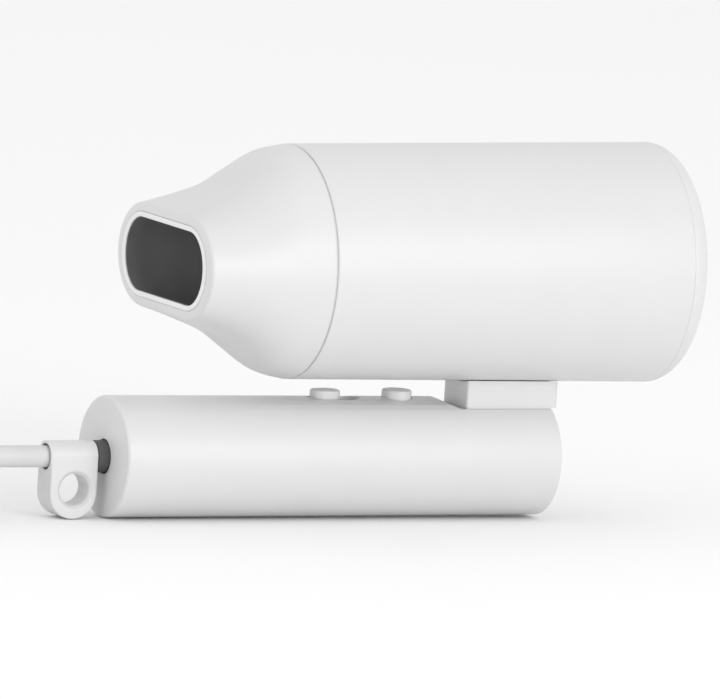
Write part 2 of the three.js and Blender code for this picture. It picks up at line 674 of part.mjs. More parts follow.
const group = new THREE.Group();
parts.handle.position.copy(handleCentre);
parts.barrel.position.copy(handleCentre).add(new THREE.Vector3(0, 0, barrelRise));
group.add(parts.handle, parts.barrel);

export default group;
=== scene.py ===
import bpy, bmesh, json, math
from mathutils import Matrix, Vector


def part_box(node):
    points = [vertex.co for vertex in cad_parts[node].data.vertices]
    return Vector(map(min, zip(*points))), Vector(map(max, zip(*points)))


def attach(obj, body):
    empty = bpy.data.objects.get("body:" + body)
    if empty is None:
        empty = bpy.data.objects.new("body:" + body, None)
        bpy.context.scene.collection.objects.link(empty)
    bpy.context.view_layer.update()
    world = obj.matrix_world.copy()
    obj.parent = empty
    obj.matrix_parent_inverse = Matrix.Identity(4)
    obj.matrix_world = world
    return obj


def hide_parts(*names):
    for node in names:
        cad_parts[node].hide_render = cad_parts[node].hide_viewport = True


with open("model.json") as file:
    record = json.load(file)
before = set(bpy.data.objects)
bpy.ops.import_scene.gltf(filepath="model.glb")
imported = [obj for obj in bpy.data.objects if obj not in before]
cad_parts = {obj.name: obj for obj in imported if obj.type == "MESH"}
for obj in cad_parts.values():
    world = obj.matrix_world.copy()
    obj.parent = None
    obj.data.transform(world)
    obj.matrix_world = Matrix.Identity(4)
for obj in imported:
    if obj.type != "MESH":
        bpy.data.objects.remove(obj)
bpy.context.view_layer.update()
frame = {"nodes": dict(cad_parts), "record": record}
nodes = frame["nodes"]
print("frame loaded:", len(nodes), "nodes")

# Lengths below are millimetres. Handle parts are measured from the middle of the handle's cord end,
# barrel parts use the same x with heights counted from the barrel's axis.
mm = 0.001
gap = 0.3
handleLow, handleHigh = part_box("handle_shell")
barrelLow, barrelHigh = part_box("barrel_shell")
handleOrigin = Vector((handleLow.x, 0, (handleLow.z + handleHigh.z) / 2))
barrelOrigin = Vector((handleLow.x, 0, (barrelLow.z + barrelHigh.z) / 2))
scene = bpy.context.scene


def place(point, origin=handleOrigin):
    return origin + Vector(point) * mm


camera = {
    "aim": (70.7, -29.5, 37.1),  # middle of the view
    "turn": 25.95,               # degrees round to the nozzle side
    "roll": 8.0,                 # degrees the object leans towards the lens about its long axis
    "distance": 8000,            # far off, so there is little perspective
    "width": 220.3,              # width of the view at the object
}


def makeCamera():
    turn, roll = math.radians(camera["turn"]), math.radians(camera["roll"])
    back = Vector((-math.sin(turn), -math.cos(turn) * math.cos(roll), math.cos(turn) * math.sin(roll)))
    up = Vector((0, math.sin(roll), math.cos(roll)))
    right = up.cross(back)
    lens = bpy.data.cameras.new("camera")
    lens.sensor_width = 36
    lens.lens = lens.sensor_width * camera["distance"] / camera["width"]
    lens.clip_end = 50
    eye = bpy.data.objects.new("camera", lens)
    scene.collection.objects.link(eye)
    spot = place(camera["aim"]) + back * camera["distance"] * mm
    eye.matrix_world = Matrix([(right[i], up[i], back[i], spot[i]) for i in range(3)] + [(0, 0, 0, 1)])
    scene.camera = eye


makeCamera()
print("camera set")


def noiseAt(tree, scale, detail=3.0):
    coords = tree.nodes.new("ShaderNodeTexCoord")
    noise = tree.nodes.new("ShaderNodeTexNoise")
    noise.inputs["Scale"].default_value = scale
    noise.inputs["Detail"].default_value = detail
    tree.links.new(coords.outputs["Object"], noise.inputs["Vector"])
    return noise.outputs["Fac"]


def finish(name, colour, spread=0.02, roughness=(0.4, 0.5), patch=60, grain=2500, bump=0.05,
           metallic=0.0, **sockets):
    material = bpy.data.materials.new(name)
    material.use_nodes = True
    tree = material.node_tree
    shader = tree.nodes["Principled BSDF"]
    shader.inputs["Metallic"].default_value = metallic
    for socket, value in sockets.items():
        shader.inputs[socket.replace("_", " ")].default_value = value
    ramp = tree.nodes.new("ShaderNodeValToRGB")
    ramp.color_ramp.elements[0].position = 0.3
    ramp.color_ramp.elements[1].position = 0.7
    ramp.color_ramp.elements[0].color = (*(max(c * (1 - spread), 0) for c in colour), 1)
    ramp.color_ramp.elements[1].color = (*(min(c * (1 + spread), 1) for c in colour), 1)
    broad = noiseAt(tree, patch)
    tree.links.new(broad, ramp.inputs["Fac"])
    tree.links.new(ramp.outputs["Color"], shader.inputs["Base Color"])
    spanned = tree.nodes.new("ShaderNodeMapRange")
    spanned.inputs["To Min"].default_value = roughness[0]
    spanned.inputs["To Max"].default_value = roughness[1]
    tree.links.new(noiseAt(tree, patch * 6), spanned.inputs["Value"])
    tree.links.new(spanned.outputs["Result"], shader.inputs["Roughness"])
    relief = tree.nodes.new("ShaderNodeBump")
    relief.inputs["Strength"].default_value = bump
    relief.inputs["Distance"].default_value = 0.0002
    tree.links.new(noiseAt(tree, grain, 2.0), relief.inputs["Height"])
    tree.links.new(relief.outputs["Normal"], shader.inputs["Normal"])
    return material


finishes = {
    "white_shell": finish("satinWhite", (0.65, 0.65, 0.652), 0.008, (0.36, 0.44),
                          Coat_Weight=0.08, Coat_Roughness=0.3),
    # the trim's own white; on the nozzle's lip it is also painted light, paler than the shell
    "white_trim": finish("plainWhiteAndPaintedLight", (0.78, 0.78, 0.78), 0.012, (0.5, 0.6)),
    "dark_liner": finish("darkNylon", (0.2, 0.2, 0.202), 0.06, (0.42, 0.55), bump=0.08),
    # dark rubber for the cord tie; on the guard's bush and in the cord hole it is painted shade
    "dark_rubber": finish("darkRubber", (0.075, 0.075, 0.078), 0.1, (0.6, 0.75), bump=0.15),
    "grey_nylon": finish("greyNylon", (0.42, 0.42, 0.41), 0.05, (0.45, 0.6), bump=0.1),
    "steel": finish("brushedSteel", (0.62, 0.63, 0.64), 0.06, (0.22, 0.38), metallic=1.0),
    "brass": finish("brass", (0.72, 0.55, 0.27), 0.06, (0.2, 0.35), metallic=1.0),
    "cord_jacket": finish("cordJacket", (0.6, 0.6, 0.602), 0.02, (0.45, 0.55), grain=1500, bump=0.1),
    "board": finish("circuitBoard", (0.03, 0.16, 0.07), 0.15, (0.35, 0.5), patch=300),
    "mica": finish("micaSheet", (0.58, 0.48, 0.3), 0.15, (0.3, 0.6), patch=150, bump=0.2),
    "wire_red": finish("redWire", (0.5, 0.05, 0.035), 0.06, (0.4, 0.5)),
    "wire_blue": finish("blueWire", (0.05, 0.13, 0.4), 0.06, (0.4, 0.5)),
}


def dressFrame():
    slots = {row["node"]: row["material_slot"] for row in frame["record"]["subparts"]}
    for name, node in nodes.items():
        node.data.materials.clear()
        node.data.materials.append(finishes[slots[name]])


dressFrame()


def piece(name, verts, faces, look, body, replaced=(), sharp=38):
    mesh = bpy.data.meshes.new(name)
    mesh.from_pydata([tuple(v) for v in verts], [], faces)
    return finishPiece(name, mesh, look, body, replaced, sharp)


def tidyMesh(mesh, sharp):
    work = bmesh.new()
    work.from_mesh(mesh)
    bmesh.ops.remove_doubles(work, verts=work.verts, dist=1e-7)
    bmesh.ops.dissolve_degenerate(work, edges=work.edges, dist=1e-7)
    bmesh.ops.recalc_face_normals(work, faces=work.faces)
    work.to_mesh(mesh)
    work.free()
    mesh.shade_smooth()
    mesh.set_sharp_from_angle(angle=math.radians(sharp))


def finishPiece(name, mesh, look, body, replaced=(), sharp=38):
    tidyMesh(mesh, sharp)
    obj = bpy.data.objects.new(name, mesh)
    scene.collection.objects.link(obj)
    mesh.materials.clear()
    mesh.materials.append(finishes[look])
    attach(obj, body)
    if replaced:
        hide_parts(*replaced)
    return obj


def bareMesh(verts, faces):
    mesh = bpy.data.meshes.new("bare")
    mesh.from_pydata([tuple(v) for v in verts], [], faces)
    work = bmesh.new()
    work.from_mesh(mesh)
    bmesh.ops.remove_doubles(work, verts=work.verts, dist=1e-7)
    bmesh.ops.recalc_face_normals(work, faces=work.faces)
    work.to_mesh(mesh)
    work.free()
    return mesh


# corners of an outline, each (x, y) or (x, y, radius), with the radius run as an arc
def rounded(corners, closed=True, steps=5):
    out = []
    n = len(corners)
    for i, corner in enumerate(corners):
        here = Vector(corner[:2])
        radius = corner[2] if len(corner) > 2 else 0
        if radius == 0 or (not closed and i in (0, n - 1)):
            out.append(tuple(here))
            continue
        before = (Vector(corners[i - 1][:2]) - here).normalized()
        after = (Vector(corners[(i + 1) % n][:2]) - here).normalized()
        half = before.angle(after) / 2
        reach = radius / math.tan(half)
        middle = here + (before + after).normalized() * radius / math.sin(half)
        start, stop = here + before * reach - middle, here + after * reach - middle
        sweep = start.angle_signed(stop)
        for k in range(steps + 1):
            turn = -sweep * k / steps
            c, s = math.cos(turn), math.sin(turn)
            out.append((middle.x + start.x * c - start.y * s, middle.y + start.x * s + start.y * c))
    return out


# solid of revolution along x, y or z: profile points are (along, radius)
def turned(profile, origin, sides, axis="x", at=(0, 0, 0)):
    verts, faces, rows = [], [], []
    for along, radius in profile:
        row = []
        count = 1 if radius < 1e-6 else sides
        for k in range(count):
            a = 2 * math.pi * k / sides
            u, v = radius * math.cos(a), radius * math.sin(a)
            local = {"x": (along, u, v), "y": (v, along, u), "z": (u, v, along)}[axis]
            row.append(len(verts))
            verts.append(place(Vector(at) + Vector(local), origin))
        rows.append(row)
    for i in range(len(rows)):
        a, b = rows[i], rows[(i + 1) % len(rows)]
        if len(a) == 1 and len(b) == 1:
            continue
        for k in range(sides):
            j = (k + 1) % sides
            ring = [a[k % len(a)], a[j % len(a)], b[j % len(b)], b[k % len(b)]]
            faces.append(list(dict.fromkeys(ring)))
    return verts, faces


# plain round bar or hole
def rod(low, high, radius, origin, sides, axis="x", at=(0, 0, 0)):
    return turned([(low, 0), (low, radius), (high, radius), (high, 0)], origin, sides, axis, at)


# closed body through rings of equal count; ends are capped unless the rings close on themselves
def lofted(rings, loop=False):
    count = len(rings[0])
    verts = [p for ring in rings for p in ring]
    faces = []
    for i in range(len(rings) if loop else len(rings) - 1):
        j = (i + 1) % len(rings)
        for k in range(count):
            m = (k + 1) % count
            faces.append([i * count + k, i * count + m, j * count + m, j * count + k])
    if not loop:
        faces.append(list(range(count)))
        faces.append([(len(rings) - 1) * count + k for k in reversed(range(count))])
    return verts, faces


def extruded(outline, low, high, origin, axis="z"):
    def at(p, level):
        return {"x": (level, p[0], p[1]), "y": (p[0], level, p[1]), "z": (p[0], p[1], level)}[axis]
    return lofted([[place(at(p, level), origin) for p in outline] for level in (low, high)])


def slab(x0, x1, y0, y1, z0, z1, origin):
    return extruded([(x0, y0), (x1, y0), (x1, y1), (x0, y1)], z0, z1, origin)


def stadium(x0, x1, half, radius=None, steps=12):
    r = (radius or half) * 0.999    # a hair less, so two corners never quite meet
    return rounded([(x0, -half, r), (x1, -half, r), (x1, half, r), (x0, half, r)], steps=steps)


# joins, cuts or trims a shell with others, one after another
def carve(base, *steps):
    mesh = bareMesh(*base)
    for operation, shape in steps:
        subject = bpy.data.objects.new("subject", mesh)
        tool = bpy.data.objects.new("tool", bareMesh(*shape))
        for obj in (subject, tool):
            scene.collection.objects.link(obj)
        change = subject.modifiers.new("cut", "BOOLEAN")
        change.operation = operation
        change.solver = "EXACT"
        change.object = tool
        mesh = applied(subject)
        for obj in (subject, tool):
            bpy.data.objects.remove(obj)
    return mesh


def applied(obj):
    bpy.context.view_layer.update()
    depsgraph = bpy.context.evaluated_depsgraph_get()
    return bpy.data.meshes.new_from_object(obj.evaluated_get(depsgraph), depsgraph=depsgraph)


def withModifiers(mesh, *makers):
    obj = bpy.data.objects.new("work", mesh)
    scene.collection.objects.link(obj)
    for make in makers:
        make(obj)
    result = applied(obj)
    bpy.data.objects.remove(obj)
    return result


def softEdges(width):
    def make(obj):
        bevel = obj.modifiers.new("edges", "BEVEL")
        bevel.width = width * mm
        bevel.segments = 2
        bevel.limit_method = "ANGLE"
        bevel.angle_limit = math.radians(35)
        bevel.use_clamp_overlap = True
        bevel.miter_outer = "MITER_ARC"
    return make


def blendedSkin(voxel, rounds):
    def make(obj):
        remesh = obj.modifiers.new("skin", "REMESH")
        remesh.mode = "VOXEL"
        remesh.voxel_size = voxel * mm
        smooth = obj.modifiers.new("soft", "SMOOTH")
        smooth.factor = 0.5
        smooth.iterations = rounds
    return make


cut, join = "DIFFERENCE", "UNION"


# smooth line through the points
def through(points, perSpan):
    out = []
    for i in range(len(points) - 1):
        p0, p1, p2, p3 = (Vector(points[max(0, min(len(points) - 1, i + k))]) for k in (-1, 0, 1, 2))
        for s in range(perSpan):
            t = s / perSpan
            out.append(0.5 * (2 * p1 + (p2 - p0) * t + (2 * p0 - 5 * p1 + 4 * p2 - p3) * t ** 2
                              + (3 * p1 - p0 - 3 * p2 + p3) * t ** 3))
    return out + [Vector(points[-1])]


cord = {
    "radius": 3.4,
    "middle": (-106, 22),   # of the coil, beyond the loop
    "inner": 27.2,          # smallest turn
    "pitch": 6.9,
    "turnsPerLayer": 3,
    "lift": 0.9,            # the tie lies under the coil
    "perTurn": 40,
    "bendStart": -35,       # where the lead turns aside to the coil
    "bendRadius": 33,
    "crossing": 7.1,        # climb over the upper layer, on the way across to the plug
    "tuck": 5.2,            # how far the last turn moves in while it climbs
}
plug = {
    "start": -104, "aside": 33, "halfHeight": 7.9, "length": 34,
    "bladeLength": 16.8, "bladeHalf": 3.1, "bladeThick": 1.5, "bladeAside": 6.35, "bladeHole": 1.5,
}
tie = {
    "inward": 5.5,          # past the smallest turn
    "outward": 5.1,         # past the largest turn
    "halfWidth": 6, "thickness": 0.9, "base": 0.6,
}

coilX, coilY = cord["middle"]
outerTurn = cord["inner"] + cord["pitch"] * cord["turnsPerLayer"]
floorZ = -handleOrigin.z / mm
lowLayer = floorZ + cord["lift"] + cord["radius"]
highLayer = lowLayer + 2 * cord["radius"]
topLayer = highLayer + cord["crossing"]
plugAxis = highLayer + cord["radius"] + gap + plug["halfHeight"]
plugY = coilY + plug["aside"]


def ease(t):
    return (1 - math.cos(math.pi * min(max(t, 0), 1))) / 2


def onCoil(radius, turns, height):
    angle = -math.pi / 2 - 2 * math.pi * turns
    return Vector((coilX + radius * math.cos(angle), coilY + radius * math.sin(angle), height))


# straight out of the guard, then two equal arcs aside and down to the lower layer
def leadRoute():
    side, start, radius = outerTurn - coilY, cord["bendStart"], cord["bendRadius"]
    sweep = math.acos(1 - side / (2 * radius))
    length = 2 * radius * sweep
    points = [Vector((x, 0, 0)) for x in (-8.3, -12, -16, -20, -24, -28, -32)]
    steps = 24
    for k in range(steps + 1):
        along = length * k / steps
        turn = min(along, length - along) / radius
        forward, aside = radius * math.sin(turn), radius * (1 - math.cos(turn))
        x, y = start - forward, -aside
        if along > length / 2:
            x, y = start - 2 * radius * math.sin(sweep) + forward, aside - side
        points.append(Vector((x, y, lowLayer * ease(along / length))))
    return points


# lower layer inwards, upper layer outwards, then half a turn across the top to the plug
def coilRoute():
    points, perTurn, turns = [], cord["perTurn"], cord["turnsPerLayer"]
    inner, tuck, climb = cord["inner"], cord["tuck"], 0.3
    for k in range(round(turns * perTurn)):
        points.append(onCoil(outerTurn - cord["pitch"] * k / perTurn, k / perTurn, lowLayer))
    for k in range(round(turns * perTurn)):
        t = k / perTurn
        radius = inner + (outerTurn - inner) * max(t - climb, 0) / (turns - climb)
        points.append(onCoil(radius, t, lowLayer + (highLayer - lowLayer) * ease(t / climb)))
    for k in range(perTurn // 4):
        t = k / perTurn
        height = highLayer + cord["crossing"] * ease(t / 0.17)
        points.append(onCoil(outerTurn - tuck * ease(t / 0.25), t, height))
    for k in range(perTurn // 4 + 1):
        part = 4 * k / perTurn
        radius = outerTurn - tuck + (plug["aside"] - outerTurn + tuck) * ease(part)
        height = topLayer + (plugAxis - topLayer) * ease((part - 0.2) / 0.8)
        points.append(onCoil(radius, 0.25 + part / 4, height))
    return points + [Vector((plug["start"] + 1, plugY, plugAxis))]


def makeCord():
    route = [place(p) for p in leadRoute() + coilRoute()]
    curve = bpy.data.curves.new("mainsCord", "CURVE")
    curve.dimensions = "3D"
    curve.bevel_depth = cord["radius"] * mm
    curve.bevel_resolution = 6
    curve.use_fill_caps = True
    spline = curve.splines.new("POLY")
    spline.points.add(len(route) - 1)
    for point, co in zip(spline.points, route):
        point.co = (*co, 1)
    spline.use_smooth = True
    obj = bpy.data.objects.new("mainsCord", curve)
    scene.collection.objects.link(obj)
    curve.materials.append(finishes["cord_jacket"])
    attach(obj, "handle")
    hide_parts("cord_lead", "cord_coil", "cord_tail")
    length = sum((b - a).length for a, b in zip(route, route[1:]))
    print("cord length", round(length, 3))
    return obj, length


def makePlug():
    rings = []
    for x, halfWidth, halfHeight, corner in [
        (0, 4.4, 4.4, 4.3), (0.4, 4.7, 4.7, 4.6), (4, 5.0, 4.9, 4.7), (8, 6.0, 5.4, 4.6), (12, 8.2, 6.2, 4.4),
        (16, 10.8, 7.0, 4.2), (20, 12.4, 7.5, 4.0), (26, 12.9, 7.8, 3.8), (32, 12.9, 7.8, 3.6),
        (33.5, 12.5, 7.4, 3.4), (34, 11.9, 6.8, 3.0),
    ]:
        outline = rounded([(-halfWidth, -halfHeight, corner), (halfWidth, -halfHeight, corner),
                           (halfWidth, halfHeight, corner), (-halfWidth, halfHeight, corner)], steps=8)
        rings.append([place((plug["start"] + x, plugY + y, plugAxis + z)) for y, z in outline])
    made = [piece("plugBody", *lofted(rings), "cord_jacket", "handle", ["plug_body"])]
    start = plug["start"] + plug["length"] + gap
    end = start + plug["bladeLength"]
    half, thick, tip = plug["bladeHalf"], plug["bladeThick"] / 2, end - 0.1
    for side, name in ((-1, "front"), (1, "rear")):
        y = plugY + side * plug["bladeAside"]
        outline = rounded([(start, -half), (tip, -half, 1.6), (tip, half, 1.6), (start, half)])
        shape = carve(
            extruded([(x, z + plugAxis) for x, z in outline], y - thick, y + thick, handleOrigin, "y"),
            (cut, rod(-2, 2, plug["bladeHole"], handleOrigin, 32, "y", (end - 4.4, y, plugAxis))))
        shape = withModifiers(shape, softEdges(0.2))
        made.append(finishPiece(f"plugBlade_{name}", shape, "brass", "handle", [f"plug_blade_{name}"]))
    return made


def makeTie():
    left, right = coilX + cord["inner"] - tie["inward"], coilX + outerTurn + tie["outward"]
    low, high = floorZ + 0.05, highLayer + cord["radius"] + 1.2
    wall, base, half = tie["thickness"], tie["base"], tie["halfWidth"]
    outside = rounded([(left, low, 2), (right, low, 2), (right, high, 2.4), (left, high, 2.4)])
    inside = rounded([(left + wall, low + base, 1.2), (right - wall, low + base, 1.2),
                      (right - wall, high - wall, 1.5), (left + wall, high - wall, 1.5)])
    rings = [[place((x, coilY + y, z)) for x, z in line]
             for line, y in ((outside, -half), (outside, half), (inside, half), (inside, -half))]
    shape = withModifiers(bareMesh(*lofted(rings, loop=True)), softEdges(0.25))
    return finishPiece("cordTie", shape, "dark_rubber", "handle", ["cord_tie"])


mainsCord, cordLength = makeCord()
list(makePlug())
makeTie()
print("cord, plug and tie made")


studio = {
    "floor": 0.95,
    "floorHalf": 8,                   # metres
    "sky": 0.93,
    "lights": {                       # power in watts, place in metres, size in metres
        "softbox": (21, (0.6, -2.3, 0.7), 1.5),
        "fill": (11, (-2.4, -0.7, 0.4), 1.6),
    },
}


def makeStudio():
    half = studio["floorHalf"]
    corners = ((-half, -half), (half, -half), (half, half), (-half, half))
    slabRings = [[Vector((x, y, z)) for x, y in corners] for z in (-0.05, -0.0002)]
    floor = bpy.data.objects.new("floor", bareMesh(*lofted(slabRings)))
    scene.collection.objects.link(floor)
    paper = finish("paper", (studio["floor"],) * 3, 0.004, (0.8, 0.9), patch=3, grain=900)
    floor.data.materials.append(paper)
    world = bpy.data.worlds.new("studio")
    scene.world = world
    world.use_nodes = True
    world.node_tree.nodes["Background"].inputs["Color"].default_value = (1, 1, 1, 1)
    world.node_tree.nodes["Background"].inputs["Strength"].default_value = studio["sky"]
    for name, (power, spot, size) in studio["lights"].items():
        light = bpy.data.lights.new(name, "AREA")
        light.energy = power
        light.size = size
        lamp = bpy.data.objects.new(name, light)
        lamp.location = spot
        lamp.rotation_euler = (barrelOrigin - lamp.location).to_track_quat("-Z", "Y").to_euler()
        scene.collection.objects.link(lamp)


makeStudio()
scene.view_settings.view_transform = "Standard"
print("studio set")


nozzle = {
    "outletX": 16.4,
    "seamX": 58.5,
    "seamRadius": 36.15,
    "opening": (27.7, 11.4, 17.0),    # half width, half height, flat half length
    "rim": (34.4, 15.7, 16.3),
    "heights": [(0, 15.7), (9.2, 18.95), (18.9, 23.1), (25.8, 28.3), (33.8, 34.1), (42.1, 36.15)],
    # across the rim: share of the way from the opening to the outside, and depth behind the outlet
    "lip": [(0.02, 0.45), (0, 0.3), (0.02, 0.1), (0.07, 0), (0.27, 0), (0.31, 0.06), (0.335, 0.2),
            (0.34, 1.2), (0.06, 1.2), (0.06, 0.45)],
    "rimStart": [(0.345, 1.2), (0.355, 0.36), (0.38, 0.25), (0.42, 0.2)],
    "edge": 1.0,                      # depth of the rounded band outside the lip
    "rearFillet": 0.9,
    "sides": 192,
}
liner = {
    "wall": 0.8,
    # painted light: deeper in, the liner is painted this paler grey
    "paintedLightColour": (0.42, 0.42, 0.425),
    "paintedLightFrom": 6,                    # behind the outlet
    "paintedLightTo": 34,
}
nozzleLength = nozzle["seamX"] - nozzle["outletX"]


def heightAt(x):
    points = nozzle["heights"]
    line = through([(a, b, 0) for a, b in points], 24)
    for a, b in zip(line, line[1:]):
        if a.x <= x <= b.x + 1e-6:
            return a.y + (b.y - a.y) * (x - a.x) / max(b.x - a.x, 1e-9)
    return points[-1][1]


def outerOval(x):
    t = x / nozzleLength
    share = t * t * (3 - 2 * t)
    width = nozzle["rim"][0] + (nozzle["seamRadius"] - nozzle["rim"][0]) * share
    return width, heightAt(x), nozzle["rim"][2] * (1 - t) ** 1.3


# two half ellipses joined by straight runs of the given half length
def ovalRing(x, width, height, flat):
    ring = []
    sides = nozzle["sides"]
    for k in range(sides):
        a = 2 * math.pi * k / sides
        c, s = math.cos(a), math.sin(a)
        level = height / max(abs(s), 1e-6)
        r = level
        if level * abs(c) > flat:
            end = width - flat
            qa = (c / end) ** 2 + (s / height) ** 2
            qb = -2 * abs(c) * flat / end ** 2
            r = (-qb + math.sqrt(max(qb * qb - 4 * qa * ((flat / end) ** 2 - 1), 0))) / (2 * qa)
        ring.append(place((x, r * c, r * s), barrelOrigin))
    return ring


def rimRing(share, back, outside):
    size = [a + (b - a) * share for a, b in zip(nozzle["opening"], outside)]
    return ovalRing(nozzle["outletX"] + back, *size)


def makeNozzle():
    edge, outlet = nozzle["edge"], nozzle["outletX"]
    start = edge + 0.4
    outside = outerOval(start)
    # painted light: the lip ring is the shell's plastic, painted a paler white so it reads brighter
    piece("nozzleLip", *lofted([rimRing(share, back, outside) for share, back in nozzle["lip"]], loop=True),
          "white_trim", "nozzle")
    turns = [math.pi / 2 * k / 8 for k in range(1, 8)]
    share, back = nozzle["rimStart"][-1]
    band = [(share + (1 - share) * math.sin(a), back + edge * (1 - math.cos(a))) for a in turns]
    rings = [rimRing(share, back, outside) for share, back in nozzle["rimStart"] + band]
    steps, fillet = 44, nozzle["rearFillet"]
    for k in range(steps):
        x = start + (nozzleLength - fillet - start) * k / (steps - 1)
        rings.append(ovalRing(outlet + x, *outerOval(x)))
    for k in range(1, 5):
        a = math.pi / 2 * k / 5
        r = nozzle["seamRadius"] - fillet + fillet * math.cos(a)
        rings.append(ovalRing(nozzle["seamX"] - fillet + fillet * math.sin(a), r, r, 0))
    # round collar that goes into the barrel, then back along the inside to the lip
    collar = [(58.5, 35.5), (58.78, 35.5), (58.78, 32.2), (64.0, 32.2), (64.3, 31.9), (64.3, 30.8),
              (57.5, 30.8)]
    inside = [(50, 30.8, 29.6, 3), (42, 30.7, 24.6, 7), (34, 30.5, 19.2, 11), (26, 30, 15.5, 14.5),
              (19, 29.1, 12.9, 17), (17.8, 29, 12.7, 17), (17.62, 28.1, 11.8, 17), (16.9, 28.0, 11.7, 17),
              (16.9, 27.7, 11.4, 17)]
    rings += [ovalRing(x, r, r, 0) for x, r in collar]
    rings += [ovalRing(*section) for section in inside]
    piece("nozzleShell", *lofted(rings, loop=True), "white_shell", "nozzle", ["nozzle_shell"], sharp=50)


def makeLiner():
    walls = [(17.9, 28.6, 12.3, 17), (22, 29.1, 13.2, 16), (26, 29.4, 14.9, 14.4), (30, 29.5, 16.4, 12.7),
             (34, 29.7, 18.4, 10.9), (38, 29.8, 21, 9), (42, 29.9, 23.8, 6.9), (46, 29.95, 26.4, 4.9),
             (50, 30, 28.8, 2.9), (55, 30, 29.6, 1.2), (60, 30, 30, 0)]
    wall = liner["wall"]
    back = [(x, w - wall, h - wall, f) for x, w, h, f in reversed(walls[1:])]
    front = [(18.3, 27.75, 11.5, 17), (16.95, 27.6, 11.3, 17), (16.95, 27.9, 11.6, 17),
             (17.8, 27.95, 11.65, 17)]
    rings = [ovalRing(*section) for section in walls + back + front]
    return piece("nozzleLiner", *lofted(rings, loop=True), "dark_liner", "nozzle", ["nozzle_liner"])


# painted light: the liner's grey is painted paler further in, where little light reaches
def paintLinerLight():
    material = finishes["dark_liner"].copy()
    material.name = "linerNylonPaintedLight"
    tree = material.node_tree
    shader = tree.nodes["Principled BSDF"]
    source = shader.inputs["Base Color"].links[0].from_socket
    coords = tree.nodes.new("ShaderNodeTexCoord")
    apart = tree.nodes.new("ShaderNodeSeparateXYZ")
    depth = tree.nodes.new("ShaderNodeMapRange")
    mix = tree.nodes.new("ShaderNodeMix")
    mix.data_type = "RGBA"
    mix.inputs["B"].default_value = (*liner["paintedLightColour"], 1)
    tree.links.new(coords.outputs["Object"], apart.inputs["Vector"])
    tree.links.new(apart.outputs["X"], depth.inputs["Value"])
    depth.inputs["From Min"].default_value = place((nozzle["outletX"] + liner["paintedLightFrom"], 0, 0)).x
    depth.inputs["From Max"].default_value = place((nozzle["outletX"] + liner["paintedLightTo"], 0, 0)).x
    tree.links.new(depth.outputs["Result"], mix.inputs["Factor"])
    tree.links.new(source, mix.inputs["A"])
    tree.links.new(mix.outputs["Result"], shader.inputs["Base Color"])
    return material


makeNozzle()
linerPiece = makeLiner()
linerPiece.data.materials.clear()
linerPiece.data.materials.append(paintLinerLight())
print("nozzle made")


barrel = {
    "front": 58.8, "coverSeam": 180.0, "rear": 186.5,
    "frontRadius": 36.15, "rearRadius": 37.0, "wall": 2.0,
    "fillet": 6.0, "lip": 28.5,
    "screwX": (126, 142), "screwHole": 1.6, "harnessX": 134, "harnessHole": 2.8,
}


def makeBarrel():
    wall = barrel["wall"]
    profile = rounded([
        (barrel["front"], barrel["frontRadius"] - wall, 0.3), (barrel["front"], barrel["frontRadius"], 0.5),
        (barrel["coverSeam"] + 0.22, barrel["rearRadius"], 0.07),
        (barrel["coverSeam"] + 0.22, barrel["rearRadius"] - wall, 0.3)])
    spots = [(x, barrel["screwHole"]) for x in barrel["screwX"]]
    spots.append((barrel["harnessX"], barrel["harnessHole"]))
    holes = [(cut, rod(-40, -30, r, barrelOrigin, 40, "z", (x, 0, 0))) for x, r in spots]
    shell = carve(turned(profile, barrelOrigin, 192), *holes)
    finishPiece("barrelShell", shell, "white_shell", "barrel", ["barrel_shell"])


def makeRearCap():
    seam, rear, radius = barrel["coverSeam"] + 0.3, barrel["rear"], barrel["rearRadius"]
    f = barrel["fillet"]
    arc = [(rear - f + f * math.sin(a), radius - f + f * math.cos(a))
           for a in (math.pi / 2 * k / 16 for k in range(17))]
    groove = [(seam, radius - 0.07), (seam + 0.06, radius - 0.01)]
    profile = groove + arc + [
        (rear, barrel["lip"] + 0.5), (rear - 0.15, barrel["lip"] + 0.1), (rear - 0.5, barrel["lip"]),
        (rear - 2.2, barrel["lip"]), (rear - 2.2, 33.2),
        (174, 33.2), (174, 34.4), (174.3, 34.7), (180.26, 34.7), (180.26, radius - 0.07)]
    piece("rearCap", *turned(profile, barrelOrigin, 192), "white_shell", "rear_cover", ["rear_cap"], sharp=60)


intake = {
    "plate": 28.2, "thickness": 1.6, "edge": 0.15, "face": 186.2,
    "hole": 1.05, "spacing": 2.9, "reach": 25.8, "holeSides": 14,
}


def flatCurve(name, circles, depth, edge):
    curve = bpy.data.curves.new(name, "CURVE")
    curve.dimensions = "2D"
    curve.fill_mode = "BOTH"
    curve.extrude = depth / 2 * mm
    curve.bevel_depth = edge * mm
    curve.bevel_resolution = 1
    curve.resolution_u = 8
    for y, z, radius, count in circles:
        spline = curve.splines.new("POLY")
        spline.points.add(count - 1)
        for k, point in enumerate(spline.points):
            a = 2 * math.pi * k / count
            point.co = ((y + radius * math.cos(a)) * mm, (z + radius * math.sin(a)) * mm, 0, 1)
        spline.use_cyclic_u = True
    return curve


